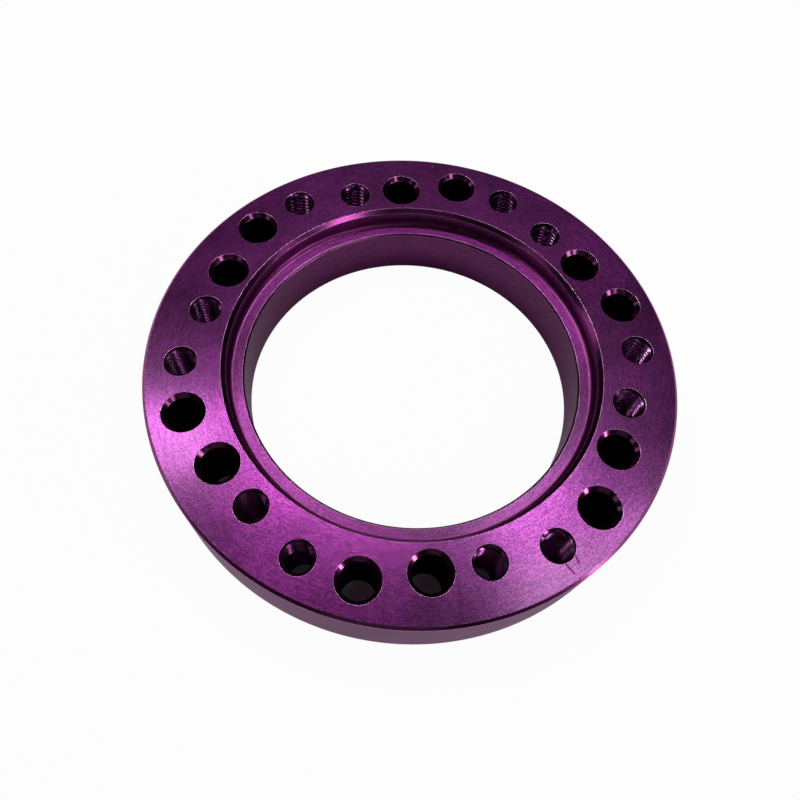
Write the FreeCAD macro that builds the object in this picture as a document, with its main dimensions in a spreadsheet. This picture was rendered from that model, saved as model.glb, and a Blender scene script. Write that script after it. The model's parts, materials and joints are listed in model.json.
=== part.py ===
"""Steering wheel spacer: one ring, turned, drilled and tapped from aluminium.

The ring is a revolved section with a recess in its front face that takes the wheel's centring
boss. Six pairs of plain holes and six pairs of tapped holes stand in turn round it. Each pair has
one hole on the inner pitch circle and one on the outer, so the ring fits both common wheel
patterns. The origin is the centre of the back face, which meets the hub, and +Z runs along the
bore towards the wheel. Lengths are in millimetres and angles in degrees.
"""

import FreeCAD, Part
import math
import os

import Sketcher

SIZES = (
    ("thickness", 13, "from the hub face to the wheel face"),
    ("inner_pitch_dia", 70, "pitch circle of the inner holes"),
    ("pitch_step", 4, "how much wider the outer holes' pitch circle is, which makes it 74"),
    ("rim_wall", 5.8, "from the outer pitch circle to the outside, which makes it 85.6 across"),
    ("bore_wall", 7.5, "from the inner pitch circle to the bore, which makes it 55 across"),
    ("ledge_width", 2.6, "width of the recess floor, from the bore to the recess wall"),
    ("recess_depth", 3.4, "depth of the recess below the wheel face"),
    ("recess_corner_radius", 0.8, "round left in the corner of the recess by the boring tool"),
    ("rim_chamfer", 0.5, "outer edges of both faces"),
    ("recess_chamfer", 0.65, "edge of the recess at the wheel face"),
    ("ledge_chamfer", 0.3, "edge of the bore at the recess floor"),
    ("bore_back_chamfer", 0.5, "edge of the bore at the hub face"),
    ("holes_per_circle", 6, "plain holes, and as many tapped holes, on each pitch circle"),
    ("pair_angle", 16, "angle between the two holes of a pair"),
    ("clear_hole_dia", 5.5, "plain holes that an M5 screw passes through"),
    ("clear_mouth_chamfer", 0.65, "chamfer at both ends of a plain hole"),
    ("thread_dia", 5, "nominal diameter of the tapped holes, M5"),
    ("thread_pitch", 0.8, "pitch of the coarse M5 thread"),
    ("thread_mouth_lead", 0.15, "how far a tapped hole's mouth stands outside the thread"),
)
INNER_PITCH_RADIUS = "sizes.inner_pitch_dia / 2"
OUTER_PITCH_RADIUS = "(sizes.inner_pitch_dia + sizes.pitch_step) / 2"
BORE_RADIUS = f"{INNER_PITCH_RADIUS} - sizes.bore_wall"
RECESS_RADIUS = f"{BORE_RADIUS} + sizes.ledge_width"
OUTER_RADIUS = f"{OUTER_PITCH_RADIUS} + sizes.rim_wall"
RECESS_FLOOR = "sizes.thickness - sizes.recess_depth"
CLEAR_RADIUS = "sizes.clear_hole_dia / 2"
CLEAR_MOUTH_RADIUS = f"{CLEAR_RADIUS} + sizes.clear_mouth_chamfer"
TAP_DRILL_RADIUS = "(sizes.thread_dia - sizes.thread_pitch) / 2"
TAPPED_MOUTH_RADIUS = "sizes.thread_dia / 2 + sizes.thread_mouth_lead"
ORIGIN = (-1, 1)
X_AXIS = -1
FULL_TURN = 360
MOUTH_ANGLE = 90
SAME_LENGTH = 1e-4


def add_sizes(document):
    """Makes the sheet of driving dimensions and returns it."""
    sheet = document.addObject("Spreadsheet::Sheet", "sizes")
    for row, (alias, value, meaning) in enumerate(SIZES, start=1):
        sheet.set(f"A{row}", meaning)
        sheet.set(f"B{row}", str(value))
        sheet.setAlias(f"B{row}", alias)
    document.recompute()
    return sheet


def origin_plane(body, role):
    """Returns the body's own origin plane or axis with this role."""
    return next(item for item in body.Origin.OriginFeatures if item.Role == role)


def add_sketch(body, name, plane_role):
    """Adds an empty sketch on one of the body's own origin planes."""
    sketch = body.newObject("Sketcher::SketchObject", name)
    sketch.AttachmentSupport = [(origin_plane(body, plane_role), "")]
    sketch.MapMode = "FlatFace"
    return sketch


def drive(sketch, constraint, name, expression):
    """Adds a dimension to a sketch and binds it to the sheet."""
    index = sketch.addConstraint(constraint)
    sketch.renameConstraint(index, name)
    sketch.setExpression(f"Constraints.{name}", expression)


def add_section(body, sheet):
    """Draws half of the ring's stepped section, with its sharp corners, on the XZ plane."""
    bore = sheet.evalExpression(BORE_RADIUS)
    outer = sheet.evalExpression(OUTER_RADIUS)
    recess = sheet.evalExpression(RECESS_RADIUS)
    top = sheet.thickness
    floor = sheet.evalExpression(RECESS_FLOOR)
    corners = [(bore, 0), (outer, 0), (outer, top), (recess, top), (recess, floor), (bore, floor)]
    sketch = add_sketch(body, "ring_section", "XZ_Plane")
    points = [FreeCAD.Vector(x, y, 0) for x, y in corners]
    back, rim, front, recess_wall, ledge, bore_wall = range(len(points))
    for start, end in zip(points, points[1:] + points[:1]):
        sketch.addGeometry(Part.LineSegment(start, end), False)
    for line in range(len(points)):
        following = (line + 1) % len(points)
        sketch.addConstraint(Sketcher.Constraint("Coincident", line, 2, following, 1))
    for line in (back, front, ledge):
        sketch.addConstraint(Sketcher.Constraint("Horizontal", line))
    for line in (rim, recess_wall, bore_wall):
        sketch.addConstraint(Sketcher.Constraint("Vertical", line))
    sketch.addConstraint(Sketcher.Constraint("PointOnObject", back, 1, X_AXIS))
    across = Sketcher.Constraint("DistanceX", *ORIGIN, back, 1, bore)
    drive(sketch, across, "bore_radius", BORE_RADIUS)
    across = Sketcher.Constraint("DistanceX", *ORIGIN, back, 2, outer)
    drive(sketch, across, "outer_radius", OUTER_RADIUS)
    across = Sketcher.Constraint("DistanceX", ledge, 2, ledge, 1, sheet.ledge_width)
    drive(sketch, across, "ledge_width", "sizes.ledge_width")
    up = Sketcher.Constraint("DistanceY", rim, 1, rim, 2, top)
    drive(sketch, up, "thickness", "sizes.thickness")
    up = Sketcher.Constraint("DistanceY", recess_wall, 2, recess_wall, 1, sheet.recess_depth)
    drive(sketch, up, "recess_depth", "sizes.recess_depth")
    return sketch


def revolve(body, name, sketch):
    """Turns a section a full turn about the ring's axis."""
    feature = body.newObject("PartDesign::Revolution", name)
    feature.Profile = sketch
    feature.ReferenceAxis = (sketch, ["V_Axis"])
    feature.Angle = FULL_TURN
    return feature


def circle_edges(feature, height, radius):
    """Names the circular edges of this radius at this height above the hub face."""
    names = []
    for number, edge in enumerate(feature.Shape.Edges, start=1):
        if not isinstance(edge.Curve, Part.Circle):
            continue
        same_height = abs(edge.Curve.Center.z - height) < SAME_LENGTH
        same_radius = abs(edge.Curve.Radius - radius) < SAME_LENGTH
        if same_height and same_radius:
            names.append(f"Edge{number}")
    if not names:
        raise RuntimeError(f"no circle of radius {radius} at height {height} on {feature.Label}")
    return names


def dress(body, kind, name, edges, size_property, expression):
    """Adds a chamfer or a fillet to edges of the body's last feature."""
    base = body.Tip
    feature = body.newObject(f"PartDesign::{kind}", name)
    feature.Base = (base, edges)
    feature.setExpression(size_property, expression)
    body.Document.recompute()
    return feature


def break_turned_edges(body, sheet):
    """Rounds the recess corner and chamfers the edges that are turned on the lathe."""
    bore = sheet.evalExpression(BORE_RADIUS)
    outer = sheet.evalExpression(OUTER_RADIUS)
    recess = sheet.evalExpression(RECESS_RADIUS)
    top = sheet.thickness
    floor = sheet.evalExpression(RECESS_FLOOR)
    edges = circle_edges(body.Tip, floor, recess)
    dress(body, "Fillet", "recess_corner", edges, "Radius", "sizes.recess_corner_radius")
    edges = circle_edges(body.Tip, 0, outer) + circle_edges(body.Tip, top, outer)
    dress(body, "Chamfer", "rim_edges", edges, "Size", "sizes.rim_chamfer")
    edges = circle_edges(body.Tip, top, recess)
    dress(body, "Chamfer", "recess_edge", edges, "Size", "sizes.recess_chamfer")
    edges = circle_edges(body.Tip, floor, bore)
    dress(body, "Chamfer", "ledge_edge", edges, "Size", "sizes.ledge_chamfer")
    edges = circle_edges(body.Tip, 0, bore)
    dress(body, "Chamfer", "bore_back_edge", edges, "Size", "sizes.bore_back_chamfer")


def add_hole_centre(sketch, name, pitch_radius, angle, hole_radius, expressions):
    """Adds a circle at the end of a construction line that gives its pitch radius and angle."""
    turn = FreeCAD.Rotation(FreeCAD.Vector(0, 0, 1), angle)
    centre = turn.multVec(FreeCAD.Vector(pitch_radius, 0, 0))
    spoke = sketch.addGeometry(Part.LineSegment(FreeCAD.Vector(), centre), True)
    circle = sketch.addGeometry(Part.Circle(centre, FreeCAD.Vector(0, 0, 1), hole_radius), False)
    sketch.addConstraint(Sketcher.Constraint("Coincident", spoke, 1, *ORIGIN))
    sketch.addConstraint(Sketcher.Constraint("Coincident", spoke, 2, circle, 3))
    length = Sketcher.Constraint("Distance", spoke, pitch_radius)
    drive(sketch, length, f"{name}_pitch_radius", expressions["pitch_radius"])
    direction = Sketcher.Constraint("Angle", X_AXIS, 1, spoke, 1, math.radians(angle))
    drive(sketch, direction, f"{name}_angle", expressions["angle"])
    radius = Sketcher.Constraint("Radius", circle, hole_radius)
    drive(sketch, radius, f"{name}_radius", expressions["hole_radius"])


def drill_pairs(body, sheet, name, leading, trailing, centre_angle, hole_radius, mouth_radius):
    """Drills one pair of countersunk holes from the wheel face and repeats it round the ring.

    leading and trailing are the pitch radii of the holes ahead of and behind the pair's middle,
    counted anticlockwise. All arguments after the name are expressions of the sheet's sizes.
    """
    document = body.Document
    before = body.Tip.Shape.Volume
    sketch = add_sketch(body, f"{name}_centres", "XY_Plane")
    sketch.setExpression(".AttachmentOffset.Base.z", "sizes.thickness")
    document.recompute()
    middle = sheet.evalExpression(centre_angle)
    radius = sheet.evalExpression(hole_radius)
    for label, pitch_radius, sign in (("leading", leading, 1), ("trailing", trailing, -1)):
        angle = middle + sign * sheet.pair_angle / 2
        expressions = {
            "pitch_radius": pitch_radius,
            "angle": f"({centre_angle} + {sign} * sizes.pair_angle / 2) * 1 deg",
            "hole_radius": hole_radius,
        }
        length = sheet.evalExpression(pitch_radius)
        add_hole_centre(sketch, label, length, angle, radius, expressions)
    document.recompute()
    hole = body.newObject("PartDesign::Hole", name)
    hole.Profile = sketch
    document.recompute()
    hole.ThreadType = "None"
    hole.DepthType = "ThroughAll"
    hole.HoleCutType = "Countersink"
    hole.HoleCutCustomValues = True
    hole.HoleCutCountersinkAngle = MOUTH_ANGLE
    hole.setExpression("Diameter", f"2 * ({hole_radius})")
    hole.setExpression("HoleCutDiameter", f"2 * ({mouth_radius})")
    document.recompute()
    pattern = body.newObject("PartDesign::PolarPattern", f"{name}_ring")
    pattern.Originals = [hole]
    pattern.Axis = (origin_plane(body, "Z_Axis"), [""])
    pattern.Angle = FULL_TURN
    pattern.setExpression("Occurrences", "sizes.holes_per_circle")
    body.Tip = pattern
    document.recompute()
    expected = 2 * sheet.holes_per_circle * math.pi * radius**2 * sheet.thickness
    if before - pattern.Shape.Volume < expected / 2:
        raise RuntimeError(f"{name} cut less than its holes should")


def open_back_mouths(body, sheet, name, hole_radius, mouth_radius):
    """Chamfers the ends of one kind of hole at the hub face."""
    edges = circle_edges(body.Tip, 0, sheet.evalExpression(hole_radius))
    dress(body, "Chamfer", name, edges, "Size", f"({mouth_radius}) - ({hole_radius})")


def build_spacer_ring(document, sheet):
    """Builds the ring as one body: turned first, then drilled and its holes opened."""
    body = document.addObject("PartDesign::Body", "spacer_ring")
    body.Label = "spacer_ring"
    section = add_section(body, sheet)
    document.recompute()
    revolve(body, "turned_ring", section)
    document.recompute()
    break_turned_edges(body, sheet)
    drill_pairs(
        body,
        sheet,
        "clear_holes",
        leading=INNER_PITCH_RADIUS,
        trailing=OUTER_PITCH_RADIUS,
        centre_angle="0",
        hole_radius=CLEAR_RADIUS,
        mouth_radius=CLEAR_MOUTH_RADIUS,
    )
    drill_pairs(
        body,
        sheet,
        "tapped_holes",
        leading=OUTER_PITCH_RADIUS,
        trailing=INNER_PITCH_RADIUS,
        centre_angle="180 / sizes.holes_per_circle",
        hole_radius=TAP_DRILL_RADIUS,
        mouth_radius=TAPPED_MOUTH_RADIUS,
    )
    open_back_mouths(body, sheet, "clear_back_mouths", CLEAR_RADIUS, CLEAR_MOUTH_RADIUS)
    open_back_mouths(body, sheet, "tapped_back_mouths", TAP_DRILL_RADIUS, TAPPED_MOUTH_RADIUS)
    return body


def check(document, bodies):
    """Stops with a message if any object failed or any body is not one valid solid."""
    for item in document.Objects:
        if "Invalid" in item.State or "Error" in item.State:
            raise RuntimeError(f"{item.Label} failed: {item.State}")
    for body in bodies:
        if body.Shape.isNull() or not body.Shape.isValid() or len(body.Shape.Solids) != 1:
            raise RuntimeError(f"{body.Label} is not one valid solid")


def main():
    """Builds the document, checks it and writes one STEP file for each body."""
    document = FreeCAD.newDocument("steering_wheel_spacer")
    sheet = add_sizes(document)
    bodies = [build_spacer_ring(document, sheet)]
    document.recompute()
    check(document, bodies)
    os.makedirs("parts", exist_ok=True)
    for body in bodies:
        body.Shape.exportStep(f"parts/{body.Label}.step")
        box = body.Shape.BoundBox
        print(body.Label, round(box.XLength, 3), round(box.YLength, 3), round(box.ZLength, 3))
        print("volume", round(body.Shape.Volume, 2), "faces", len(body.Shape.Faces))


main()
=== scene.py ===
"""Looks of a steering wheel spacer: a ring turned from aluminium, drilled, tapped and anodised purple.

The whole ring is one closed skin, worked out with numpy from a turned profile, two drilled faces,
twelve plain holes and twelve threads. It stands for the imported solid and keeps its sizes.
Lengths are in metres. Angles are in radians, but the lamps' directions are given in degrees.
"""

import json
import logging
import math
from dataclasses import dataclass
from enum import Enum

import bpy
import numpy as np
from mathutils import Matrix, Vector


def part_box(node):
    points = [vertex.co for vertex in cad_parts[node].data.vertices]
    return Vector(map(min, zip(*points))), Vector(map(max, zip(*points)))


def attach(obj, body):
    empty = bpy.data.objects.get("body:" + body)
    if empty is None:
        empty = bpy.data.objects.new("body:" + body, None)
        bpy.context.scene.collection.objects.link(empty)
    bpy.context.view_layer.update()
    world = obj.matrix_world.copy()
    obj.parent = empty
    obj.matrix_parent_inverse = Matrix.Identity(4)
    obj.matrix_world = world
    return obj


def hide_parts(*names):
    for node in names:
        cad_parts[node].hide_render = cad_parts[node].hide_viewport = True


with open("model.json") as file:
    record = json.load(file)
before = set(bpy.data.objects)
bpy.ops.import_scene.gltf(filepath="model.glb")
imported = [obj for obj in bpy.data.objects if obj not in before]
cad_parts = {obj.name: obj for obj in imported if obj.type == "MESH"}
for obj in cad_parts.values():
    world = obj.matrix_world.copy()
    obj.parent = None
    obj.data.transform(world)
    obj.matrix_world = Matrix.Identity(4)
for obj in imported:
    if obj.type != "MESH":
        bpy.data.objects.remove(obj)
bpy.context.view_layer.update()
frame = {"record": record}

LOG = logging.getLogger("spacer")
MM = 0.001
NODE = "spacer_ring"
FULL_TURN = 2 * math.pi
CHAMFER_ANGLE = math.radians(45)
# Points that fall on the same step of a grid this fine become one.
WELD = 1e-7
# Half the angle between the flanks of a metric thread, and its root flat as a share of the pitch.
FLANK_LEAN = math.radians(30)
ROOT_FLAT_SHARE = 1 / 8
# How many divisions later a thread starts for each pair, and for the second hole of a pair.
PAIR_LAG = 7
HOLE_LAG = 3


class Zone(Enum):
    """The surfaces of the ring that have a finish of their own, in the order of their materials."""

    FACE = 0
    LEDGE = 1
    WALL = 2
    EDGE = 3
    HOLE = 4
    THREAD = 5
    RIM = 6
    WORN = 7
    CHAMFER = 8


class Side(Enum):
    """The two faces of the ring. The value is the way the face looks along Z."""

    WHEEL = 1
    HUB = -1


def stated_sizes(name: str) -> dict:
    """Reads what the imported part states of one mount.

    Args:
        name: The mount's name.

    Returns:
        Its dimensions, in millimetres.
    """
    return next(mount["dims"] for mount in frame["record"]["mounts"] if mount["name"] == name)


@dataclass(frozen=True)
class RingSizes:
    """Sizes of the ring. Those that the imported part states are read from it."""

    outer_radius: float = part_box(NODE)[1].x
    thickness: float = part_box(NODE)[1].z
    bore_radius: float = stated_sizes("centre_bore")["r_mm"] * MM
    recess_radius: float = stated_sizes("recess")["r_mm"] * MM
    inner_pitch_radius: float = stated_sizes("clear_holes_inner")["pcd_mm"] / 2 * MM
    outer_pitch_radius: float = stated_sizes("clear_holes_outer")["pcd_mm"] / 2 * MM
    clear_radius: float = stated_sizes("clear_holes_inner")["hole_r_mm"] * MM
    thread_minor_radius: float = stated_sizes("tapped_holes_inner")["hole_r_mm"] * MM
    holes_per_circle: int = stated_sizes("clear_holes_inner")["count"]
    recess_depth: float = 3.4 * MM
    recess_corner: float = 0.8 * MM
    rim_chamfer: float = 0.5 * MM
    recess_chamfer: float = 0.65 * MM
    ledge_chamfer: float = 0.3 * MM
    bore_back_chamfer: float = 0.5 * MM
    clear_mouth: float = 0.65 * MM
    thread_major_radius: float = 2.5 * MM
    thread_pitch: float = 0.8 * MM
    thread_mouth: float = 0.15 * MM
    worn_edge: float = 0.11 * MM
    pair_angle: float = math.radians(16)

    @property
    def sectors(self) -> int:
        """How many sectors the ring is divided into: one for each hole, plain or tapped."""
        return 4 * self.holes_per_circle

    @property
    def edge_reach(self) -> float:
        """How far a worn edge reaches into the flat face beside a 45 degree chamfer."""
        return self.worn_edge * math.tan(CHAMFER_ANGLE / 2)


@dataclass(frozen=True)
class Grid:
    """How finely the skin is divided."""

    arc_steps: int = 16
    spoke_steps: int = 12
    face_rows: int = 3
    edge_steps: int = 2
    corner_steps: int = 8

    @property
    def mouth_steps(self) -> int:
        """Divisions round one hole, which is also the length of its sector's border."""
        return 2 * (self.arc_steps + self.spoke_steps)


@dataclass
class Profile:
    """A line across the skin: points and outward normals as (radius, height) rows, and zones."""

    points: np.ndarray
    normals: np.ndarray
    zones: np.ndarray


def rounded_profile(corners: list[tuple], zones: list[Zone], steps: dict[float, int]) -> Profile:
    """Rounds the corners of an open outline that is walked with the material on its right.

    A corner with radius R that turns by the angle A is replaced by an arc that starts R tan(A / 2)
    before it. The outward normal is the direction of travel turned a quarter turn to the left.

    Args:
        corners: (radius, height, corner radius) rows. The two ends have a corner radius of zero.
        zones: The zone of each straight piece. An arc that rounds a sharp edge has the zone WORN,
            and one in a hollow corner has the zone of the piece after it.
        steps: The number of divisions for each corner radius.

    Returns:
        The rounded profile, one zone for each piece between two points.
    """
    places = np.array([corner[:2] for corner in corners])
    along = np.diff(places, axis=0)
    along /= np.linalg.norm(along, axis=1)[:, None]
    headings = np.unwrap(np.arctan2(along[:, 1], along[:, 0]))
    points, turns, kinds = [places[:1]], [headings[:1]], []
    for index in range(1, len(places) - 1):
        radius = corners[index][2]
        before, after = headings[index - 1], headings[index]
        count = steps[radius]
        heading = np.linspace(before, after, count + 1)
        side = np.sign(after - before)
        start = places[index] - radius * abs(math.tan((after - before) / 2)) * along[index - 1]
        left = np.stack([-np.sin(heading), np.cos(heading)], axis=1)
        centre = start + side * radius * left[0]
        points.append(centre - side * radius * left)
        turns.append(heading)
        bend = zones[index] if side > 0 else Zone.WORN
        kinds += [zones[index - 1].value] + [bend.value] * count
    points.append(places[-1:])
    turns.append(headings[-1:])
    kinds.append(zones[-1].value)
    heading = np.concatenate(turns)
    normals = np.stack([-np.sin(heading), np.cos(heading)], axis=1)
    return Profile(np.concatenate(points), normals, np.array(kinds))


class Skin:
    """Collects grids of points and welds them into one closed mesh with exact normals."""

    def __init__(self) -> None:
        """Starts with nothing collected."""
        self.corners: list[np.ndarray] = []
        self.normals: list[np.ndarray] = []
        self.zones: list[np.ndarray] = []

    def add_cells(self, corners: np.ndarray, normals: np.ndarray, zones: np.ndarray) -> None:
        """Adds cells that are walked the same way round, turned so that they look outward.

        Args:
            corners: (cells, 3 or 4, 3) points round each cell.
            normals: The outward normal at each of those points.
            zones: The zone number of each cell.
        """
        across = np.cross(corners[:, 2] - corners[:, 0], corners[:, -1] - corners[:, 1])
        if corners.shape[1] == 3:
            across = np.cross(corners[:, 1] - corners[:, 0], corners[:, 2] - corners[:, 0])
        if np.sum(across * normals.sum(axis=1)) < 0:
            corners, normals = corners[:, ::-1], normals[:, ::-1]
        self.corners.append(corners)
        self.normals.append(normals)
        self.zones.append(zones)

    def add_grid(self, points: np.ndarray, normals: np.ndarray, zones: np.ndarray) -> None:
        """Adds a grid of cells.

        Args:
            points: (rows, columns, 3) points.
            normals: The outward normal at each point.
            zones: The zone number of each row of cells.
        """
        cells = [np.stack([a[:-1, :-1], a[:-1, 1:], a[1:, 1:], a[1:, :-1]], axis=2).reshape(-1, 4, 3)
                 for a in (points, normals)]
        self.add_cells(*cells, np.repeat(zones, points.shape[1] - 1))

    def make_mesh(self, name: str) -> bpy.types.Mesh:
        """Welds what was collected.

        Args:
            name: The mesh's name.

        Returns:
            The mesh, smooth, with its own normals and one material number for each face.
        """
        sides = np.concatenate([np.full(len(c), c.shape[1]) for c in self.corners])
        flat = np.concatenate([c.reshape(-1, 3) for c in self.corners])
        keys = np.round(flat / WELD).astype(np.int64)
        _, first, index = np.unique(keys, axis=0, return_index=True, return_inverse=True)
        mesh = bpy.data.meshes.new(name)
        mesh.vertices.add(len(first))
        mesh.vertices.foreach_set("co", flat[first].astype(np.float32).ravel())
        mesh.loops.add(len(flat))
        mesh.loops.foreach_set("vertex_index", index.ravel().astype(np.int32))
        mesh.polygons.add(len(sides))
        mesh.polygons.foreach_set("loop_start", (np.cumsum(sides) - sides).astype(np.int32))
        mesh.polygons.foreach_set("material_index", np.concatenate(self.zones).astype(np.int32))
        mesh.polygons.foreach_set("use_smooth", np.ones(len(sides), bool))
        mesh.update(calc_edges=True)
        normals = np.concatenate([n.reshape(-1, 3) for n in self.normals])
        normals /= np.linalg.norm(normals, axis=1)[:, None]
        mesh.normals_split_custom_set(normals.tolist())
        return mesh


def turn_profile(skin: Skin, profile: Profile, centre: tuple[float, float], angles: np.ndarray) -> None:
    """Turns a profile about a vertical axis: x = cx + r cos(a), y = cy + r sin(a), z = height.

    Args:
        skin: Where the surface goes.
        profile: The line that is turned.
        centre: The axis, as (x, y).
        angles: The angles, which end a full turn after they start.
    """
    cos, sin = np.cos(angles), np.sin(angles)
    radius, height = profile.points[:, :1], profile.points[:, 1:]
    outward, upward = profile.normals[:, :1], profile.normals[:, 1:]
    level = np.ones_like(angles)
    points = np.stack([centre[0] + radius * cos, centre[1] + radius * sin, height * level], axis=2)
    normals = np.stack([outward * cos, outward * sin, upward * level], axis=2)
    skin.add_grid(points, normals, profile.zones)


@dataclass(frozen=True)
class Hole:
    """One hole: where it is and where its sector of the ring starts."""

    angle: float
    pitch_radius: float
    sector_start: float
    thread_start: int

    @property
    def centre(self) -> tuple[float, float]:
        """The axis of the hole, as (x, y)."""
        return self.pitch_radius * math.cos(self.angle), self.pitch_radius * math.sin(self.angle)

    def angles(self, grid: Grid, start: int = 0) -> np.ndarray:
        """Angles of a full turn round the hole, from the point that lies furthest out.

        Args:
            grid: How finely the hole is divided.
            start: How many divisions further on the turn starts.

        Returns:
            The angles, first and last a full turn apart.
        """
        steps = start + np.arange(grid.mouth_steps + 1)
        return self.angle + FULL_TURN * steps / grid.mouth_steps


@dataclass
class HoleMaker:
    """Makes the holes and the two drilled faces that they open into."""

    sizes: RingSizes
    grid: Grid
    skin: Skin

    def hole_list(self, tapped: bool) -> list[Hole]:
        """Lists the holes of one kind, two for each pair.

        Args:
            tapped: True for the tapped holes and False for the plain ones.

        Returns:
            The holes, from the pair at or after the X axis, anticlockwise.
        """
        size = self.sizes
        spacing = FULL_TURN / size.holes_per_circle
        sector = FULL_TURN / size.sectors
        middle = spacing / 2 if tapped else 0.0
        radii = [size.outer_pitch_radius, size.inner_pitch_radius]
        if tapped:
            radii.reverse()
        holes = []
        for pair in range(size.holes_per_circle):
            for place, side in enumerate((-1, 1)):
                centre = middle + pair * spacing
                angle = centre + side * size.pair_angle / 2
                start = centre + (side - 1) / 2 * sector
                lag = (PAIR_LAG * pair + HOLE_LAG * place) % self.grid.mouth_steps
                holes.append(Hole(angle, radii[place], start, lag))
        return holes

    def sector_border(self, hole: Hole, inner: float, outer: float) -> np.ndarray:
        """Walks anticlockwise round a hole's sector, from the middle of its outer arc.

        The arcs are r (cos a, sin a) at constant r, and the spokes the same at constant a.

        Args:
            hole: The hole in the sector.
            inner: The radius of the inner arc.
            outer: The radius of the outer arc.

        Returns:
            (mouth_steps + 1, 2) rows of radius and angle.
        """
        grid = self.grid
        width = FULL_TURN / self.sizes.sectors
        low, high = hole.sector_start, hole.sector_start + width
        half = grid.arc_steps // 2
        arc = np.linspace(low, high, grid.arc_steps + 1)
        spoke = np.linspace(outer, inner, grid.spoke_steps + 1)
        ones = np.ones
        pieces = [
            (outer * ones(half), arc[half:-1]),
            (spoke[:-1], high * ones(grid.spoke_steps)),
            (inner * ones(grid.arc_steps), arc[:0:-1]),
            (spoke[:0:-1], low * ones(grid.spoke_steps)),
            (outer * ones(half + 1), arc[: half + 1]),
        ]
        return np.stack([np.concatenate([piece[k] for piece in pieces]) for k in (0, 1)], axis=1)

    def add_face(self, hole: Hole, side: Side, mouth: float, inner: float, outer: float) -> None:
        """Fills a sector's face from the hole's mouth to the border: p = (1 - v) mouth + v border.

        Args:
            hole: The hole in the sector.
            side: The face.
            mouth: The radius of the hole's mouth on the face.
            inner: The inner radius of the flat face.
            outer: The outer radius of the flat face.
        """
        grid = self.grid
        turn = hole.angles(grid)
        x, y = hole.centre
        rim = np.stack([x + mouth * np.cos(turn), y + mouth * np.sin(turn)], axis=1)
        border = self.sector_border(hole, inner, outer)
        edge = border[:, :1] * np.stack([np.cos(border[:, 1]), np.sin(border[:, 1])], axis=1)
        share = np.linspace(0, 1, grid.face_rows + 1)[:, None, None]
        flat = (1 - share) * rim + share * edge
        height = self.sizes.thickness if side is Side.WHEEL else 0.0
        points = np.concatenate([flat, np.full(flat.shape[:2] + (1,), height)], axis=2)
        normals = np.zeros_like(points)
        normals[..., 2] = side.value
        self.skin.add_grid(points, normals, np.full(grid.face_rows, Zone.FACE.value))

    def add_plain_hole(self, hole: Hole) -> None:
        """Turns a plain hole's wall, with a chamfer and a worn edge at each end.

        Args:
            hole: The hole.
        """
        size, grid = self.sizes, self.grid
        wide, tight, top = size.clear_radius + size.clear_mouth, size.clear_radius, size.thickness
        edge, depth, reach = size.worn_edge, size.clear_mouth, size.edge_reach
        corners = [
            (wide + reach, 0.0, 0.0),
            (wide, 0.0, edge),
            (tight, depth, edge),
            (tight, top - depth, edge),
            (wide, top, edge),
            (wide + reach, top, 0.0),
        ]
        zones = [Zone.EDGE, Zone.CHAMFER, Zone.HOLE, Zone.CHAMFER, Zone.EDGE]
        profile = rounded_profile(corners, zones, {edge: grid.edge_steps})
        turn_profile(self.skin, drop_ends(profile), hole.centre, hole.angles(grid))

    def mouth_cone(self, height: np.ndarray) -> np.ndarray:
        """Radius of the chamfer in a thread's mouths: the mouth's radius less the depth.

        Args:
            height: Heights above the hub face.

        Returns:
            The radius at each height, which falls by as much as the nearer face is away.
        """
        mouth = self.sizes.thread_major_radius + self.sizes.thread_mouth
        return mouth - np.minimum(height, self.sizes.thickness - height)

    def add_thread(self, hole: Hole) -> None:
        """Winds a right-handed thread through a hole.

        One pitch is four strips: a root flat, a flank, a crest flat and a flank. The height of a
        strip's edge is its place plus pitch times angle / 2 pi, so a turn ends where the same edge
        of the next pitch starts. Near a face, the radius is never less than the mouth's chamfer.

        Args:
            hole: The hole.
        """
        size, grid = self.sizes, self.grid
        pitch, root, crest = size.thread_pitch, size.thread_major_radius, size.thread_minor_radius
        root_flat = pitch * ROOT_FLAT_SHARE
        flank = (root - crest) * math.tan(FLANK_LEAN)
        crest_flat = pitch - root_flat - 2 * flank
        places = np.cumsum([0.0, root_flat, flank, crest_flat])
        radii = np.array([root, root, crest, crest])
        turns = int((size.thickness - pitch) / pitch)
        low = (size.thickness - (turns + 1) * pitch) / 2
        edges = np.append((places + pitch * np.arange(turns)[:, None]).ravel(), turns * pitch)
        radii = np.append(np.tile(radii, turns), root)
        angle = hole.angles(grid, hole.thread_start)
        rise = pitch * np.arange(grid.mouth_steps + 1) / grid.mouth_steps
        height = low + edges[:, None] + rise
        radius = np.maximum(radii[:, None], self.mouth_cone(height))
        x, y = hole.centre
        cos, sin = np.cos(angle), np.sin(angle)
        points = np.stack([x + radius * cos, y + radius * sin, height], axis=2)
        slopes = np.diff(radius, axis=0) / np.diff(height, axis=0)
        for strip, slope in enumerate(slopes):
            normals = np.tile(np.stack([-cos, -sin, slope], axis=1), (2, 1, 1))
            self.skin.add_grid(points[strip : strip + 2], normals, np.array([Zone.THREAD.value]))
        pitch_edges = len(places) + 1
        self.add_mouth(hole, Side.HUB, points[0], points[:pitch_edges, 0])
        self.add_mouth(hole, Side.WHEEL, points[-1], points[-pitch_edges:, -1])

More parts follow.
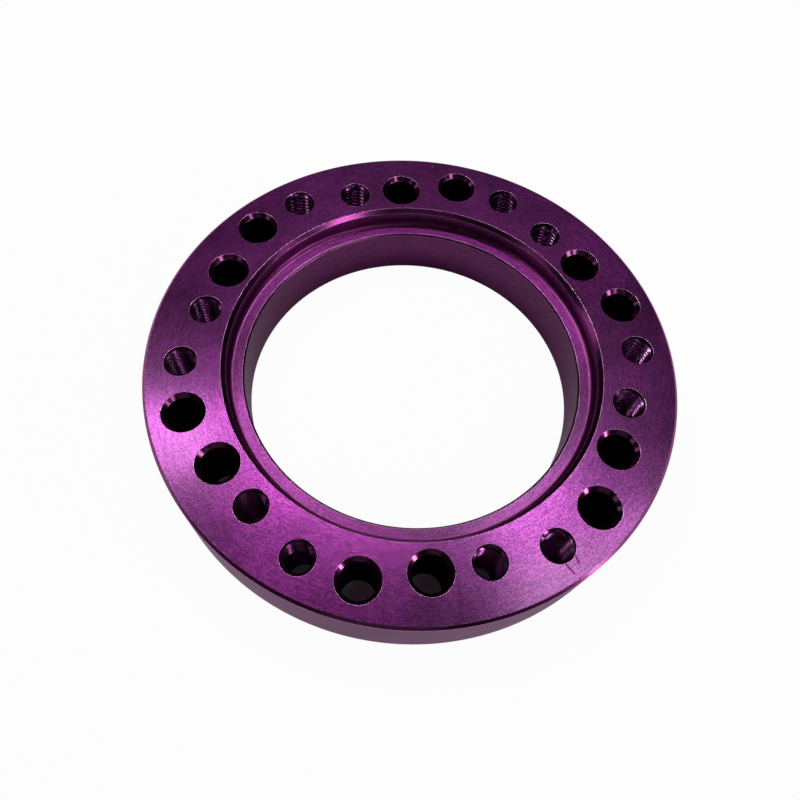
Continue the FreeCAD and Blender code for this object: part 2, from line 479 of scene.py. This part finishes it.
    def add_mouth(self, hole: Hole, side: Side, line: np.ndarray, step: np.ndarray) -> None:
        """Joins the first or last line of a thread to the mouth's rim, and closes the step in it.

        Args:
            hole: The hole.
            side: The face that the mouth opens into.
            line: The thread's first or last line, a full turn.
            step: The corners of the thread's end, one above the other.
        """
        size, grid = self.sizes, self.grid
        angle = hole.angles(grid, hole.thread_start)
        x, y = hole.centre
        mouth, edge = size.thread_major_radius + size.thread_mouth, size.worn_edge
        face = size.thickness if side is Side.WHEEL else 0.0
        lean = np.linspace(0, CHAMFER_ANGLE, grid.edge_steps + 1)[:, None]
        centre_radius = mouth + size.edge_reach
        radius = centre_radius - edge * np.sin(lean)
        height = face - side.value * edge * (1 - np.cos(lean))
        cos, sin, level = np.cos(angle), np.sin(angle), np.ones_like(angle)
        rim = np.stack([x + radius * cos, y + radius * sin, height * level], axis=2)
        tilt = side.value * np.cos(lean) * level
        rim_normals = np.stack([-np.sin(lean) * cos, -np.sin(lean) * sin, tilt], axis=2)
        zones = np.full(grid.edge_steps, Zone.WORN.value)
        self.skin.add_grid(rim, rim_normals, zones)
        cone = np.stack([rim[-1], line])
        narrowing = radius[-1] - np.hypot(line[:, 0] - x, line[:, 1] - y)
        drop = np.abs(height[-1] - line[:, 2])
        cone_normal = np.stack([-cos * drop, -sin * drop, side.value * narrowing], axis=1)
        cone_normals = np.stack([cone_normal, cone_normal])
        self.skin.add_grid(cone, cone_normals, np.array([Zone.CHAMFER.value]))
        ahead = side.value * np.array([-sin[0], cos[0], 0.0])
        self.add_step(rim[-1, :1], step, ahead)

    def add_step(self, rim: np.ndarray, step: np.ndarray, ahead: np.ndarray) -> None:
        """Closes the flat step at a thread's end.

        It is divided into triangles from its last corner, because all of the step can be seen from
        there. The mouth's cone runs along it, so from the rim some triangles would have no area.

        Args:
            rim: The point of the mouth's rim at the step, as one row.
            step: The corners of the thread's end, one above the other.
            ahead: The way that the step faces.
        """
        corners = np.concatenate([rim, step[:-1]])
        count = len(corners) - 1
        pivot = np.repeat(step[-1:], count, axis=0)
        cells = np.stack([pivot, corners[:-1], corners[1:]], axis=1)
        normals = np.broadcast_to(ahead, cells.shape).copy()
        self.skin.add_cells(cells, normals, np.full(count, Zone.THREAD.value))


def drop_ends(profile: Profile) -> Profile:
    """Cuts the first and last point off a profile whose end pieces have no length."""
    return Profile(profile.points[1:-1], profile.normals[1:-1], profile.zones[1:-1])


@dataclass
class TurnedBody:
    """The surfaces that a lathe makes: rim, recess, ledge and bore."""

    sizes: RingSizes
    grid: Grid
    skin: Skin

    def wheel_face(self) -> tuple[float, float]:
        """The inner and outer radius of the flat part of the wheel face."""
        size = self.sizes
        return (
            size.recess_radius + size.recess_chamfer + size.edge_reach,
            size.outer_radius - size.rim_chamfer - size.edge_reach,
        )

    def hub_face(self) -> tuple[float, float]:
        """The inner and outer radius of the flat part of the hub face."""
        size = self.sizes
        return (
            size.bore_radius + size.bore_back_chamfer + size.edge_reach,
            size.outer_radius - size.rim_chamfer - size.edge_reach,
        )

    def rim_profile(self) -> Profile:
        """The outside, from the wheel face down to the hub face."""
        size = self.sizes
        out, top, cut, edge = size.outer_radius, size.thickness, size.rim_chamfer, size.worn_edge
        corners = [
            (self.wheel_face()[1], top, 0.0),
            (out - cut, top, edge),
            (out, top - cut, edge),
            (out, cut, edge),
            (out - cut, 0.0, edge),
            (self.hub_face()[1], 0.0, 0.0),
        ]
        zones = [Zone.EDGE, Zone.CHAMFER, Zone.RIM, Zone.CHAMFER, Zone.EDGE]
        return drop_ends(rounded_profile(corners, zones, {edge: self.grid.edge_steps}))

    def bore_profile(self) -> Profile:
        """The bore, the ledge and the recess, from the hub face up to the wheel face."""
        size = self.sizes
        top, cut, edge = size.thickness, size.bore_back_chamfer, size.worn_edge
        floor, step, lip = top - size.recess_depth, size.ledge_chamfer, size.recess_chamfer
        recess, bore, corner = size.recess_radius, size.bore_radius, size.recess_corner
        corners = [
            (self.hub_face()[0], 0.0, 0.0),
            (bore + cut, 0.0, edge),
            (bore, cut, edge),
            (bore, floor - step, edge),
            (bore + step, floor, edge),
            (recess, floor, corner),
            (recess, top - lip, edge),
            (recess + lip, top, edge),
            (self.wheel_face()[0], top, 0.0),
        ]
        back, front = [Zone.EDGE] * 2, [Zone.EDGE] * 2
        zones = [*back, Zone.WALL, Zone.WALL, Zone.LEDGE, Zone.WALL, *front]
        steps = {edge: self.grid.edge_steps, corner: self.grid.corner_steps}
        return drop_ends(rounded_profile(corners, zones, steps))

    def build(self) -> None:
        """Turns both profiles about the ring's axis."""
        count = self.sizes.sectors * self.grid.arc_steps
        angles = FULL_TURN * np.arange(count + 1) / count
        turn_profile(self.skin, self.rim_profile(), (0.0, 0.0), angles)
        turn_profile(self.skin, self.bore_profile(), (0.0, 0.0), angles)


@dataclass
class SpacerRing:
    """The whole ring as one piece."""

    sizes: RingSizes
    grid: Grid

    def build(self) -> bpy.types.Object:
        """Builds the ring's skin.

        Returns:
            The object, at the origin.
        """
        skin = Skin()
        body = TurnedBody(self.sizes, self.grid, skin)
        holes = HoleMaker(self.sizes, self.grid, skin)
        body.build()
        size = self.sizes
        clear_mouth = size.clear_radius + size.clear_mouth + size.edge_reach
        tapped_mouth = size.thread_major_radius + size.thread_mouth + size.edge_reach
        for tapped, mouth in ((False, clear_mouth), (True, tapped_mouth)):
            for hole in holes.hole_list(tapped):
                holes.add_face(hole, Side.WHEEL, mouth, *body.wheel_face())
                holes.add_face(hole, Side.HUB, mouth, *body.hub_face())
                if tapped:
                    holes.add_thread(hole)
                else:
                    holes.add_plain_hole(hole)
        mesh = skin.make_mesh("anodised_ring")
        ring = bpy.data.objects.new("anodised_ring", mesh)
        bpy.context.scene.collection.objects.link(ring)
        return ring


# Numbers of the Mix node's sockets when it mixes colours.
MIX_SHARE, MIX_FIRST, MIX_SECOND = 0, 6, 7
MIX_RESULT = 2


class Wiring:
    """Adds nodes to one tree and joins them."""

    def __init__(self, tree: bpy.types.NodeTree) -> None:
        """Takes the tree and empties it.

        Args:
            tree: A material's or a group's node tree.
        """
        self.tree = tree
        tree.nodes.clear()

    def add(self, kind: str, inputs: dict | None = None, **settings: object) -> bpy.types.Node:
        """Adds a node.

        Args:
            kind: The node's type.
            inputs: What goes into its sockets, by name or number: a socket to link, or a value.
            settings: Its other properties.

        Returns:
            The node.
        """
        node = self.tree.nodes.new(kind)
        for name, value in settings.items():
            setattr(node, name, value)
        for key, value in (inputs or {}).items():
            if isinstance(value, bpy.types.NodeSocket):
                self.tree.links.new(value, node.inputs[key])
            else:
                node.inputs[key].default_value = value
        return node

    def math(self, operation: str, *values: object) -> bpy.types.NodeSocket:
        """Adds a Math node and returns its result."""
        return self.add("ShaderNodeMath", dict(enumerate(values)), operation=operation).outputs[0]

    def vector(self, operation: str, *values: object) -> bpy.types.Node:
        """Adds a Vector Math node and returns it."""
        return self.add("ShaderNodeVectorMath", dict(enumerate(values)), operation=operation)

    def fit(self, value: object, low: float, high: float, start: float, end: float) -> object:
        """Adds a Map Range node that carries low to start and high to end, and returns its result."""
        inputs = {"Value": value, "From Min": low, "From Max": high, "To Min": start, "To Max": end}
        return self.add("ShaderNodeMapRange", inputs).outputs[0]

    def blend(self, share: object, first: object, second: object) -> bpy.types.NodeSocket:
        """Adds a Mix node for colours, first at share 0 and second at 1, and returns its result."""
        inputs = {MIX_SHARE: share, MIX_FIRST: first, MIX_SECOND: second}
        return self.add("ShaderNodeMix", inputs, data_type="RGBA").outputs[MIX_RESULT]


def new_group(name: str, inputs: dict[str, str], outputs: dict[str, str]) -> tuple[Wiring, dict, dict]:
    """Starts a shader node group.

    Args:
        name: The group's name.
        inputs: Socket kinds by name, such as Float, Vector or Color.
        outputs: The same for what it puts out.

    Returns:
        The group's wiring, its input sockets by name and its output sockets by name.
    """
    tree = bpy.data.node_groups.new(name, "ShaderNodeTree")
    wiring = Wiring(tree)
    for direction, sockets in (("INPUT", inputs), ("OUTPUT", outputs)):
        for label, kind in sockets.items():
            tree.interface.new_socket(label, in_out=direction, socket_type=f"NodeSocket{kind}")
    entry = wiring.add("NodeGroupInput").outputs
    leave = wiring.add("NodeGroupOutput").inputs
    into = {label: entry[label] for label in inputs}
    out = {label: leave[label] for label in outputs}
    return wiring, into, out


# Each output of the turning marks, with its change along the cut as a share of Run, and its detail.
MARK_NOISES = (("Marks", 0.04, 3.0), ("Streaks", 1.0, 2.0))
GRAIN_DETAIL = 3.0


def turning_marks() -> bpy.types.NodeTree:
    """Makes the group that draws the marks of a lathe tool round the ring's axis.

    The noise is read at (radius Feed, height Feed, x Run, y Run), so it changes fast across the cut
    and slowly along it, on flat faces and on walls alike.

    Returns:
        The group. Marks and Streaks run from 0 to 1.
    """
    wiring, into, out = new_group(
        "turning marks",
        {"Place": "Vector", "Feed": "Float", "Run": "Float"},
        {"Marks": "Float", "Streaks": "Float"},
    )
    parts = wiring.add("ShaderNodeSeparateXYZ", {0: into["Place"]}).outputs
    level = wiring.add("ShaderNodeCombineXYZ", {0: parts[0], 1: parts[1]}).outputs[0]
    radius = wiring.vector("LENGTH", level).outputs["Value"]
    for name, run_share, detail in MARK_NOISES:
        run = wiring.math("MULTIPLY", into["Run"], run_share)
        place = wiring.add("ShaderNodeCombineXYZ", {
            0: wiring.math("MULTIPLY", radius, into["Feed"]),
            1: wiring.math("MULTIPLY", parts[2], into["Feed"]),
            2: wiring.math("MULTIPLY", parts[0], run),
        }).outputs[0]
        fourth = wiring.math("MULTIPLY", parts[1], run)
        inputs = {"Vector": place, "W": fourth, "Scale": 1.0, "Detail": detail}
        noise = wiring.add("ShaderNodeTexNoise", inputs, noise_dimensions="4D")
        wiring.tree.links.new(noise.outputs["Fac"], out[name])
    return wiring.tree


def anodic_grain() -> bpy.types.NodeTree:
    """Makes the group for the fine grain and the slow cloudiness of an anodised surface.

    Returns:
        The group. Grain and Cloud run from 0 to 1.
    """
    wiring, into, out = new_group(
        "anodic grain",
        {"Place": "Vector", "Grain Scale": "Float", "Cloud Scale": "Float"},
        {"Grain": "Float", "Cloud": "Float"},
    )
    for name in ("Grain", "Cloud"):
        inputs = {"Vector": into["Place"], "Scale": into[f"{name} Scale"], "Detail": GRAIN_DETAIL}
        noise = wiring.add("ShaderNodeTexNoise", inputs)
        wiring.tree.links.new(noise.outputs["Fac"], out[name])
    return wiring.tree


@dataclass(frozen=True)
class Nick:
    """A scratch, speck or smudge in the ring, seen from above, between two points.

    It is drawn as far as its width from the line between them. A shade below 0 is dark and one above
    0 is pale.
    """

    start: tuple[float, float]
    end: tuple[float, float]
    width: float
    shade: float


NICKS = (
    Nick((6.68 * MM, -39.0 * MM), (6.57 * MM, -40.05 * MM), 0.22 * MM, -1.0),
    Nick((4.8 * MM, -39.42 * MM), (5.19 * MM, -40.98 * MM), 0.24 * MM, -1.0),
    Nick((9.37 * MM, -38.98 * MM), (9.42 * MM, -39.02 * MM), 0.22 * MM, -0.8),
    Nick((-10.32 * MM, -35.2 * MM), (-12.37 * MM, -40.6 * MM), 0.5 * MM, -0.25),
    Nick((21.0 * MM, 35.5 * MM), (21.06 * MM, 35.53 * MM), 0.2 * MM, 0.6),
    Nick((27.92 * MM, 11.3 * MM), (28.05 * MM, 11.1 * MM), 0.16 * MM, 0.4),
    Nick((28.18 * MM, 9.99 * MM), (28.3 * MM, 9.7 * MM), 0.16 * MM, 0.3),
    Nick((28.78 * MM, 8.55 * MM), (28.85 * MM, 8.3 * MM), 0.16 * MM, 0.3),
)


# How much of a nick's width has its full shade. The rest fades out.
NICK_CORE = 0.25
NICKED_ZONES = (Zone.FACE, Zone.EDGE)
NICK_DARK = (0.11, 0.004, 0.075, 1)
NICK_PALE = (0.8, 0.6, 0.8, 1)


def nick_marks() -> bpy.types.NodeTree:
    """Makes the group that draws the nicks.

    The place on the line nearest to a point is start + course times its share along the line, held
    between 0 and the line's length. The shade falls with the distance from there.

    Returns:
        The group. Dark and Pale run from 0 to 1.
    """
    wiring, into, out = new_group("nicks", {"Place": "Vector"}, {"Dark": "Float", "Pale": "Float"})
    level = wiring.vector("MULTIPLY", into["Place"], (1.0, 1.0, 0.0)).outputs[0]
    shades = {"Dark": 0.0, "Pale": 0.0}
    for nick in NICKS:
        start, end = Vector((*nick.start, 0.0)), Vector((*nick.end, 0.0))
        length = (end - start).length
        course = (end - start) / length
        offset = wiring.vector("SUBTRACT", level, start).outputs[0]
        along = wiring.vector("DOT_PRODUCT", offset, course).outputs["Value"]
        share = wiring.fit(along, 0.0, length, 0.0, length)
        scaled = wiring.add("ShaderNodeVectorMath", {0: course, "Scale": share}, operation="SCALE")
        away = wiring.vector("DISTANCE", offset, scaled.outputs[0]).outputs["Value"]
        mark = wiring.fit(away, NICK_CORE * nick.width, nick.width, abs(nick.shade), 0.0)
        name = "Dark" if nick.shade < 0 else "Pale"
        shades[name] = wiring.math("MAXIMUM", shades[name], mark)
    for name, shade in shades.items():
        wiring.tree.links.new(shade, out[name])
    return wiring.tree


class Brushing(Enum):
    """Which way a cut surface is drawn out. The value says whether it follows the ring's axis."""

    ROUND = True
    PLAIN = False


@dataclass(frozen=True)
class AnodisedFinish:
    """How one zone of the ring looks. Colours are linear.

    The first colour is the dyed colour of the sound surface and worn that of its palest grain, and
    mottle says how far the colour swings between them. In the outer wall and the plain holes both
    are darkened far below the rest, as painted shade. The oxide is the share of the clear coat. The
    feed and the run set how fast the turning marks change across the cut and along it, per metre.
    """

    zone: Zone
    dye_and_shade: tuple[float, float, float]
    worn: tuple[float, float, float]
    roughness: float
    brushing: Brushing = Brushing.PLAIN
    anisotropy: float = 0.0
    oxide: float = 0.5
    oxide_roughness: float = 0.25
    feed: float = 4600.0
    run: float = 600.0
    mark_depth: float = 0.3
    grain_depth: float = 0.3
    mottle: float = 0.5
    edge_tint: tuple[float, float, float] = (0.6, 0.25, 0.55)


FINISHES = (
    AnodisedFinish(
        Zone.FACE,
        dye_and_shade=(0.15, 0.01, 0.148),
        worn=(0.3, 0.036, 0.28),
        roughness=0.22,
        brushing=Brushing.ROUND,
        anisotropy=0.7,
        oxide=0.37,
        oxide_roughness=0.18,
        mark_depth=0.2,
        grain_depth=0.1,
    ),
    AnodisedFinish(
        Zone.LEDGE,
        dye_and_shade=(0.12, 0.01, 0.11),
        worn=(0.25, 0.026, 0.23),
        roughness=0.3,
        brushing=Brushing.ROUND,
        anisotropy=0.92,
        oxide=0.2,
        oxide_roughness=0.24,
        run=300.0,
        mark_depth=0.4,
        grain_depth=0.1,
    ),
    AnodisedFinish(
        Zone.WALL,
        dye_and_shade=(0.13, 0.008, 0.1),
        worn=(0.24, 0.02, 0.19),
        roughness=0.34,
        brushing=Brushing.ROUND,
        anisotropy=0.5,
        oxide=0.2,
        oxide_roughness=0.3,
        edge_tint=(0.9, 0.8, 0.88),
    ),
    AnodisedFinish(
        Zone.EDGE,
        dye_and_shade=(0.22, 0.012, 0.15),
        worn=(0.38, 0.045, 0.31),
        roughness=0.2,
        oxide=0.22,
        oxide_roughness=0.2,
        mark_depth=0.05,
        grain_depth=0.08,
        mottle=0.3,
    ),
    # Painted shade: the plain holes' walls are coloured far darker than the rest of the ring, so that
    # the holes read dark inside.
    AnodisedFinish(
        Zone.HOLE,
        dye_and_shade=(0.06, 0.008, 0.05),
        worn=(0.1, 0.018, 0.08),
        roughness=0.4,
        oxide=0.05,
    ),
    AnodisedFinish(
        Zone.THREAD,
        dye_and_shade=(0.17, 0.025, 0.15),
        worn=(0.36, 0.1, 0.34),
        roughness=0.2,
        oxide=0.1,
    ),
    # Painted shade: the outer wall is coloured far darker than the rest of the ring, so that it reads
    # dark though it mirrors the pale floor.
    AnodisedFinish(
        Zone.RIM,
        dye_and_shade=(0.025, 0.006, 0.02),
        worn=(0.05, 0.013, 0.04),
        roughness=0.4,
        brushing=Brushing.ROUND,
        anisotropy=0.5,
        oxide=0.26,
        oxide_roughness=0.4,
    ),
    AnodisedFinish(
        Zone.WORN,
        dye_and_shade=(0.3, 0.08, 0.27),
        worn=(0.52, 0.22, 0.48),
        roughness=0.3,
        oxide=0.4,
        mottle=0.8,
    ),
    AnodisedFinish(
        Zone.CHAMFER,
        dye_and_shade=(0.13, 0.006, 0.08),
        worn=(0.26, 0.025, 0.19),
        roughness=0.2,
        oxide=0.38,
        oxide_roughness=0.13,
        mark_depth=0.05,
        grain_depth=0.08,
        mottle=0.3,
    ),
)

GRAIN_SCALE = 4200.0
CLOUD_SCALE = 90.0
# The tone of a spot is made of these shares of streaks and grain, and this range of it is used.
STREAK_SHARE, GRAIN_SHARE = 0.35, 0.65
TONE_RANGE = (0.43, 0.57)
CLOUD_RANGE = (0.3, 0.7)
ROUGHNESS_SPREAD = 0.03
RELIEF_HEIGHT = 0.02 * MM
OXIDE_IOR = 1.9
# A quarter turn of the tangent, with which highlights spread across the turning marks.
ROUND_BRUSHING_TURN = 0.25


class FinishShop:
    """Makes the ring's materials from the finishes."""

    def __init__(self) -> None:
        """Builds the node groups that the materials share."""
        self.marks = turning_marks()
        self.grain = anodic_grain()
        self.nicks = nick_marks()

    def colour(self, wiring: Wiring, finish: AnodisedFinish, place: object, tone: object) -> tuple:
        """Adds the dyed colour, and the nicks where the zone has them.

        Args:
            wiring: The material's wiring.
            finish: The finish.
            place: The socket with the place on the ring.
            tone: The socket with the tone, which is mixed from streaks and grain.

        Returns:
            The colour, darkened as painted shade in the outer wall and the plain holes, and the
            oxide's share, which falls to nothing in a dark nick.
        """
        wear = wiring.fit(tone, *TONE_RANGE, 0.5 - finish.mottle, 0.5 + finish.mottle)
        colour = wiring.blend(wear, (*finish.dye_and_shade, 1), (*finish.worn, 1))
        if finish.zone not in NICKED_ZONES:
            return colour, finish.oxide
        nicks = wiring.add("ShaderNodeGroup", {"Place": place}, node_tree=self.nicks).outputs
        colour = wiring.blend(nicks["Dark"], colour, NICK_DARK)
        colour = wiring.blend(nicks["Pale"], colour, NICK_PALE)
        return colour, wiring.fit(nicks["Dark"], 0.0, 1.0, finish.oxide, 0.0)

    def relief(self, wiring: Wiring, finish: AnodisedFinish, marks: object, grain: object) -> object:
        """Adds the grooves of the tool, with the pits of the grain over them.

        Args:
            wiring: The material's wiring.
            finish: The finish.
            marks: The socket with the turning marks.
            grain: The socket with the grain.

        Returns:
            The socket with the bent normal.
        """
        inputs = {"Strength": finish.mark_depth, "Distance": RELIEF_HEIGHT, "Height": marks}
        groove = wiring.add("ShaderNodeBump", inputs).outputs[0]
        inputs = {"Strength": finish.grain_depth, "Distance": RELIEF_HEIGHT, "Height": grain}
        return wiring.add("ShaderNodeBump", {**inputs, "Normal": groove}).outputs[0]

    def material(self, finish: AnodisedFinish) -> bpy.types.Material:
        """Makes one material.

        Args:
            finish: The finish.

        Returns:
            The material.
        """
        material = bpy.data.materials.new(f"anodised_{finish.zone.name.lower()}")
        material.use_nodes = True
        wiring = Wiring(material.node_tree)
        place = wiring.add("ShaderNodeTexCoord").outputs["Object"]
        inputs = {"Place": place, "Feed": finish.feed, "Run": finish.run}
        marks = wiring.add("ShaderNodeGroup", inputs, node_tree=self.marks).outputs
        inputs = {"Place": place, "Grain Scale": GRAIN_SCALE, "Cloud Scale": CLOUD_SCALE}
        grain = wiring.add("ShaderNodeGroup", inputs, node_tree=self.grain).outputs
        streaks = wiring.math("MULTIPLY", marks["Streaks"], STREAK_SHARE)
        tone = wiring.math("ADD", streaks, wiring.math("MULTIPLY", grain["Grain"], GRAIN_SHARE))
        colour, oxide = self.colour(wiring, finish, place, tone)
        low, high = finish.roughness - ROUGHNESS_SPREAD, finish.roughness + ROUGHNESS_SPREAD
        shader = wiring.add("ShaderNodeBsdfPrincipled", {
            "Base Color": colour,
            "Metallic": 1.0,
            "Roughness": wiring.fit(grain["Cloud"], *CLOUD_RANGE, low, high),
            "Coat Weight": oxide,
            "Coat Roughness": finish.oxide_roughness,
            "Coat IOR": OXIDE_IOR,
            "Anisotropic": finish.anisotropy,
            "Specular Tint": (*finish.edge_tint, 1),
            "Normal": self.relief(wiring, finish, marks["Marks"], grain["Grain"]),
        })
        if finish.brushing is Brushing.ROUND:
            tangent = wiring.add("ShaderNodeTangent", direction_type="RADIAL", axis="Z")
            wiring.tree.links.new(tangent.outputs[0], shader.inputs["Tangent"])
            shader.inputs["Anisotropic Rotation"].default_value = ROUND_BRUSHING_TURN
        wiring.add("ShaderNodeOutputMaterial", {"Surface": shader.outputs[0]})
        return material

    def dress(self, piece: bpy.types.Object) -> None:
        """Gives a piece one material for each zone, in the order of the zones' numbers.

        Args:
            piece: The piece.
        """
        for finish in FINISHES:
            piece.data.materials.append(self.material(finish))


@dataclass(frozen=True)
class Lens:
    """The camera. The ring's angle to it is the turn, and the aim lies on the wheel face."""

    focal_pixels: float = 717.12
    image_pixels: float = 800.0
    sensor: float = 36.0
    elevation: float = math.radians(62.984)
    roll: float = math.radians(6.709)
    distance: float = 111.806 * MM
    aim: tuple[float, float] = (-1.445 * MM, -8.326 * MM)

    def build(self, turn: Matrix, height: float) -> bpy.types.Object:
        """Makes the camera.

        Args:
            turn: The turn from the camera's front to the ring's own axes.
            height: The height of the wheel face.

        Returns:
            The camera.
        """
        data = bpy.data.cameras.new("camera")
        data.sensor_width = self.sensor
        data.lens = self.focal_pixels / self.image_pixels * self.sensor
        data.clip_start = MM
        camera = bpy.data.objects.new("camera", data)
        back = Vector((0.0, -math.cos(self.elevation), math.sin(self.elevation)))
        across = Vector((1.0, 0.0, 0.0))
        upward = back.cross(across)
        right = math.cos(self.roll) * across + math.sin(self.roll) * upward
        top = math.cos(self.roll) * upward - math.sin(self.roll) * across
        place = Vector((*self.aim, height)) + self.distance * back
        pose = Matrix((right, top, back)).transposed().to_4x4()
        camera.matrix_world = turn @ Matrix.Translation(place) @ pose
        bpy.context.scene.collection.objects.link(camera)
        return camera


@dataclass(frozen=True)
class SoftBox:
    """A soft studio lamp, a disk that looks at the ring from a distance called its reach.

    Azimuth and elevation are in degrees. Azimuth is seen from above, anticlockwise from the
    camera's right, so the camera stands at 270.
    """

    name: str
    azimuth: float
    elevation: float
    size: float
    watts: float
    reach: float = 0.6
    colour: tuple[float, float, float] = (1.0, 1.0, 1.0)

    def build(self, turn: Matrix) -> bpy.types.Object:
        """Makes the lamp, aimed at the ring.

        Args:
            turn: The turn from the camera's front to the ring's own axes.

        Returns:
            The lamp.
        """
        data = bpy.data.lights.new(self.name, "AREA")
        data.shape = "DISK"
        data.size = self.size
        data.energy = self.watts
        data.color = self.colour
        lamp = bpy.data.objects.new(self.name, data)
        azimuth, elevation = math.radians(self.azimuth), math.radians(self.elevation)
        level = math.cos(elevation)
        away = Vector((level * math.cos(azimuth), level * math.sin(azimuth), math.sin(elevation)))
        pose = away.to_track_quat("Z", "Y").to_matrix().to_4x4()
        lamp.matrix_world = turn @ Matrix.Translation(self.reach * away) @ pose
        bpy.context.scene.collection.objects.link(lamp)
        return lamp


# The tint of the lamps that make the bright lobes: a pale green, which makes the purple paler.
PALE_GREEN = (0.72, 1.0, 0.75)


@dataclass(frozen=True)
class Studio:
    """The floor, the world, the lamps and the camera.

    The floor's white is kept from the camera between the two ring radii, but for the under share.
    """

    ring_turn: float = math.radians(-31.35)
    floor_radius: float = 3.0
    floor_points: int = 96
    floor_drop: float = 0.02 * MM
    floor_colour: tuple[float, float, float] = (0.9, 0.9, 0.9)
    ring_radii: tuple[float, float] = (28.0 * MM, 42.0 * MM)
    under_share: float = 0.007
    white_share: float = 0.965
    world_grey: float = 0.01
    lens: Lens = Lens()
    # Each row is a name, azimuth, elevation, size in metres and power in watts.
    lamps: tuple[SoftBox, ...] = (
        SoftBox("key_left", 150.0, 56.7, 0.05, 0.34, colour=PALE_GREEN),
        SoftBox("side_left", 136.0, 63.0, 0.05, 0.07),
        SoftBox("back_left", 106.7, 66.4, 0.05, 0.26),
        SoftBox("back", 91.6, 67.9, 0.05, 0.16),
        SoftBox("back_right", 68.0, 66.0, 0.05, 0.365, colour=PALE_GREEN),
        SoftBox("side_right", 26.0, 62.0, 0.08, 0.125, colour=PALE_GREEN),
        SoftBox("key_right", 32.0, 71.0, 0.08, 0.09, colour=PALE_GREEN),
        SoftBox("fill_back", 90.0, 50.0, 0.3, 0.015),
        SoftBox("low_left", 168.0, 26.0, 0.15, 0.04),
        SoftBox("low_right", 317.0, 38.0, 0.14, 0.22),
        SoftBox("high_left", 196.0, 57.0, 0.1, 0.09),
        SoftBox("high_front", 311.0, 65.0, 0.1, 0.05),
        SoftBox("window_low", 335.0, 7.0, 0.12, 0.42),
        SoftBox("window_top", 346.0, 22.0, 0.16, 0.3),
        SoftBox("window_left", 212.0, 31.0, 0.2, 0.04),
        SoftBox("fill_front", 270.0, 25.0, 0.5, 0.055),
    )

    def floor_material(self) -> bpy.types.Material:
        """Makes the floor's material: matt for light, and white for what the camera sees of it.

        Mirror-like rays see the white too, but only outside the ring.

        Returns:
            The material.
        """
        material = bpy.data.materials.new("pale_floor")
        material.use_nodes = True
        wiring = Wiring(material.node_tree)
        matt = wiring.add("ShaderNodeBsdfDiffuse", {"Color": (*self.floor_colour, 1)})
        white = wiring.add("ShaderNodeEmission", {"Color": (1, 1, 1, 1), "Strength": 1.0})
        path = wiring.add("ShaderNodeLightPath").outputs
        place = wiring.add("ShaderNodeTexCoord").outputs["Object"]
        away = wiring.vector("LENGTH", place).outputs["Value"]
        outside = wiring.math("GREATER_THAN", away, self.ring_radii[1])
        inside = wiring.math("LESS_THAN", away, self.ring_radii[0])
        clear = wiring.math("MAXIMUM", wiring.math("ADD", inside, outside), self.under_share)
        direct = wiring.math("MULTIPLY", path["Is Camera Ray"], clear)
        bounced = wiring.math("MAXIMUM", path["Is Glossy Ray"], path["Is Transmission Ray"])
        mirrored = wiring.math("MULTIPLY", bounced, outside)
        share = wiring.math("MULTIPLY", wiring.math("MAXIMUM", direct, mirrored), self.white_share)
        both = wiring.add("ShaderNodeMixShader", {0: share, 1: matt.outputs[0], 2: white.outputs[0]})
        wiring.add("ShaderNodeOutputMaterial", {"Surface": both.outputs[0]})
        return material

    def floor(self) -> bpy.types.Object:
        """Makes the round floor: p = (r cos a, r sin a), just under the ring.

        Returns:
            The floor.
        """
        angle = np.linspace(0, FULL_TURN, self.floor_points, endpoint=False)
        level = np.full_like(angle, -self.floor_drop)
        across = self.floor_radius * np.cos(angle), self.floor_radius * np.sin(angle)
        mesh = bpy.data.meshes.new("floor")
        mesh.from_pydata(np.stack([*across, level], axis=1).tolist(), [], [list(range(len(angle)))])
        mesh.materials.append(self.floor_material())
        floor = bpy.data.objects.new("floor", mesh)
        bpy.context.scene.collection.objects.link(floor)
        return floor

    def world(self) -> None:
        """Makes the world: an even, very dim light."""
        world = bpy.data.worlds.new("studio")
        world.use_nodes = True
        bpy.context.scene.world = world
        wiring = Wiring(world.node_tree)
        grey = (self.world_grey, self.world_grey, self.world_grey, 1)
        light = wiring.add("ShaderNodeBackground", {"Color": grey, "Strength": 1.0})
        wiring.add("ShaderNodeOutputWorld", {"Surface": light.outputs[0]})

    def build(self, height: float) -> None:
        """Builds the studio round the ring.

        Args:
            height: The height of the wheel face.
        """
        turn = Matrix.Rotation(self.ring_turn, 4, "Z")
        self.floor()
        self.world()
        for lamp in self.lamps:
            lamp.build(turn)
        bpy.context.scene.camera = self.lens.build(turn, height)
        bpy.context.scene.view_settings.view_transform = "Standard"


def main() -> None:
    """Builds the ring, dresses it and sets up the studio."""
    logging.basicConfig(level=logging.INFO, format="%(name)s: %(message)s")
    sizes = RingSizes()
    ring = SpacerRing(sizes, Grid()).build()
    FinishShop().dress(ring)
    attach(ring, "root")
    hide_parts(NODE)
    LOG.info("%s: %d faces, %d points", ring.name, len(ring.data.polygons), len(ring.data.vertices))
    Studio().build(sizes.thickness)


if __name__ == "__main__":
    main()
